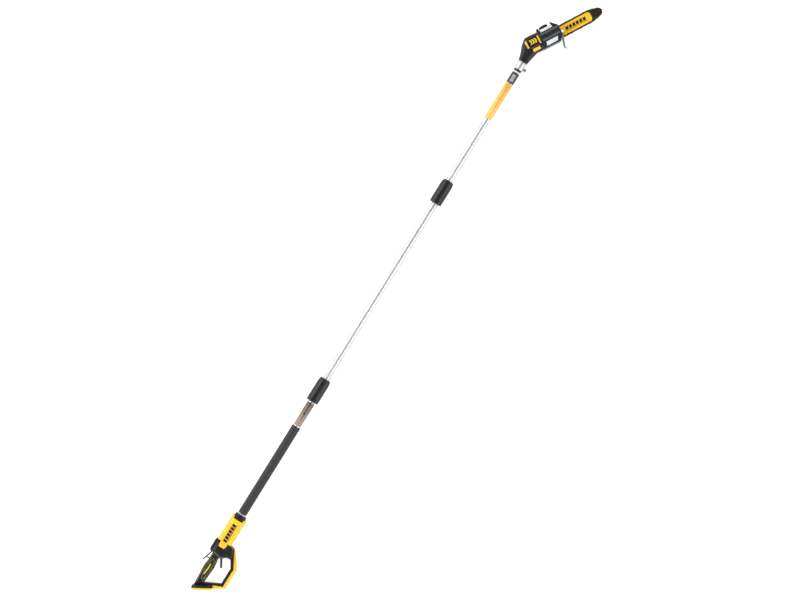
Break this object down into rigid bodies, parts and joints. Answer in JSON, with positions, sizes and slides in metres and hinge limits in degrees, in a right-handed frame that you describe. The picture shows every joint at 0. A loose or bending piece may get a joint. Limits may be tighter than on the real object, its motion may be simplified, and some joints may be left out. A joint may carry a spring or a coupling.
{
  "type": "pole saw",
  "caption": "Pole saw: rear handle with D loop and battery foot, screw-coupled pole sections, bent motor head with guide bar and chain.",
  "frame": {"origin": "middle of the flat left side of the barrel cover, on the ground that the tool lies on, straight under the pole's axis", "axes": "+X along the pole towards the saw head, +Y towards the top of the tool (away from the D loop), +Z the tool's right side, up from the ground"},
  "size_m": [3.1118, 0.2333, 0.076],
  "materials": {
    "black_plastic": "fine moulded texture",
    "yellow_plastic": "satin moulded",
    "grip_rubber": "soft, fine ribs",
    "trigger_plastic": "smooth moulded",
    "grey_plastic": "moulded",
    "circuit_board": "laminate",
    "foam": "closed-cell foam",
    "sleeve_rubber": "hard rubber, satin",
    "bronze_wrap": "printed film, metallic bronze",
    "yellow_wrap": "printed film",
    "black_wrap": "printed film",
    "aluminium": "anodised, satin",
    "cast_aluminium": "die cast",
    "bare_steel": "plated",
    "chain_steel": "oiled, dark",
    "bar_yellow": "painted, satin",
    "dark_cover": "semi-gloss",
    "tank_plastic": "translucent natural",
    "motor_steel": "laminated",
    "cable_rubber": "smooth"
  },
  "bodies": {
    "handle": {"housing_right": "black_plastic", "housing_left": "black_plastic", "grip_pad_right": "grip_rubber", "grip_pad_left": "grip_rubber", "barrel_cover_right": "yellow_plastic", "barrel_cover_left": "yellow_plastic", "loop_guard": "yellow_plastic", "nose_collar": "black_plastic", "battery_foot": "black_plastic", "rail_plate": "yellow_plastic", "terminal_block": "grey_plastic", "trigger_pin": "bare_steel", "trigger_spring": "bare_steel", "lock_off_pin": "bare_steel", "lock_off_spring": "bare_steel", "switch_module": "grey_plastic", "control_board": "circuit_board", "housing_screw": "bare_steel", "lower_tube": "aluminium", "foam_grip": "foam", "tube_wrap": "bronze_wrap", "tube_rivet": "black_plastic", "lower_cable": "cable_rubber", "socket_1": "black_plastic", "contact_block_1": "grey_plastic"},
    "trigger": {"trigger": "trigger_plastic"},
    "lock_off_lever": {"lock_off_lever": "trigger_plastic"},
    "middle_section": {"middle_tube": "aluminium", "middle_cable": "cable_rubber", "plug_1": "black_plastic", "socket_2": "black_plastic", "contact_block_2": "grey_plastic"},
    "coupler_1": {"coupler_sleeve_1": "sleeve_rubber"},
    "head_section": {"upper_tube": "aluminium", "upper_cable": "cable_rubber", "plug_2": "black_plastic", "rating_wrap": "black_wrap", "caution_wrap": "yellow_wrap", "clamp_casting": "cast_aluminium", "clamp_bolt": "bare_steel", "motor_housing_right": "black_plastic", "motor_housing_left": "black_plastic", "front_cover": "dark_cover", "gear_case": "cast_aluminium", "cover_screw": "bare_steel", "sprocket_cover": "black_plastic", "guide_bar": "bar_yellow", "saw_chain": "chain_steel", "branch_hook": "cast_aluminium", "motor_stator": "motor_steel", "shaft_bearing": "bare_steel", "oil_tank": "tank_plastic"},
    "coupler_2": {"coupler_sleeve_2": "sleeve_rubber"},
    "oil_cap": {"oil_cap": "black_plastic"},
    "bar_knob": {"bar_knob": "grey_plastic"},
    "tension_screw": {"tension_screw": "bare_steel"},
    "sprocket": {"sprocket_shaft": "bare_steel", "drive_sprocket": "chain_steel"},
    "rotor": {"motor_rotor": "motor_steel"},
    "nose_sprocket": {"nose_sprocket": "chain_steel"}
  },
  "joints": [
    {"name": "trigger_squeeze", "type": "hinge", "parent": "handle", "child": "trigger", "pos_m": [-0.129, -0.021, 0.038], "axis": [0, 0, -1], "range_deg": [0, 14], "stiffness_Nm_per_rad": 0.8, "springref_deg": -8.59},
    {"name": "lock_off_press", "type": "hinge", "parent": "handle", "child": "lock_off_lever", "pos_m": [-0.121, 0.0245, 0.038], "axis": [0, 0, 1], "range_deg": [0, 9], "stiffness_Nm_per_rad": 0.5, "springref_deg": -8.59},
    {"name": "section_1_pull", "type": "slide", "parent": "handle", "child": "middle_section", "axis": [1, 0, 0], "range_m": [0, 0.06]},
    {"name": "coupler_1_turn", "type": "hinge", "parent": "middle_section", "child": "coupler_1", "pos_m": [0.7205, 0, 0.038], "axis": [1, 0, 0], "range_deg": [0, 900]},
    {"name": "section_2_pull", "type": "slide", "parent": "middle_section", "child": "head_section", "axis": [1, 0, 0], "range_m": [0, 0.06]},
    {"name": "coupler_2_turn", "type": "hinge", "parent": "head_section", "child": "coupler_2", "pos_m": [1.743, 0, 0.038], "axis": [1, 0, 0], "range_deg": [0, 900]},
    {"name": "oil_cap_turn", "type": "hinge", "parent": "head_section", "child": "oil_cap", "pos_m": [2.55892, -0.0395, 0.055], "axis": [0.5, 0.866, 0], "range_deg": [0, 540]},
    {"name": "bar_knob_turn", "type": "hinge", "parent": "head_section", "child": "bar_knob", "pos_m": [2.59789, -0.062, 0.038], "axis": [0, 0, -1], "range_deg": [0, 1080]},
    {"name": "tension_screw_turn", "type": "hinge", "parent": "head_section", "child": "tension_screw", "pos_m": [2.59992, -0.05047, 0.0315], "axis": [0.866, -0.5, 0], "range_deg": [-720, 720]},
    {"name": "sprocket_spin", "type": "hinge", "parent": "head_section", "child": "sprocket", "pos_m": [2.56325, -0.042, 0.042], "axis": [0, 0, 1], "continuous": true},
    {"name": "rotor_spin", "type": "hinge", "parent": "head_section", "child": "rotor", "pos_m": [2.50262, -0.007, 0.042], "axis": [0.866, -0.5, 0], "continuous": true},
    {"name": "nose_sprocket_spin", "type": "hinge", "parent": "head_section", "child": "nose_sprocket", "pos_m": [2.77456, -0.164, 0.0217], "axis": [0, 0, 1], "continuous": true}
  ],
  "couplings": [
    {"joint": "rotor_spin", "follows": "sprocket_spin", "ratio": -3},
    {"joint": "nose_sprocket_spin", "follows": "sprocket_spin", "ratio": 1.3333}
  ]
}
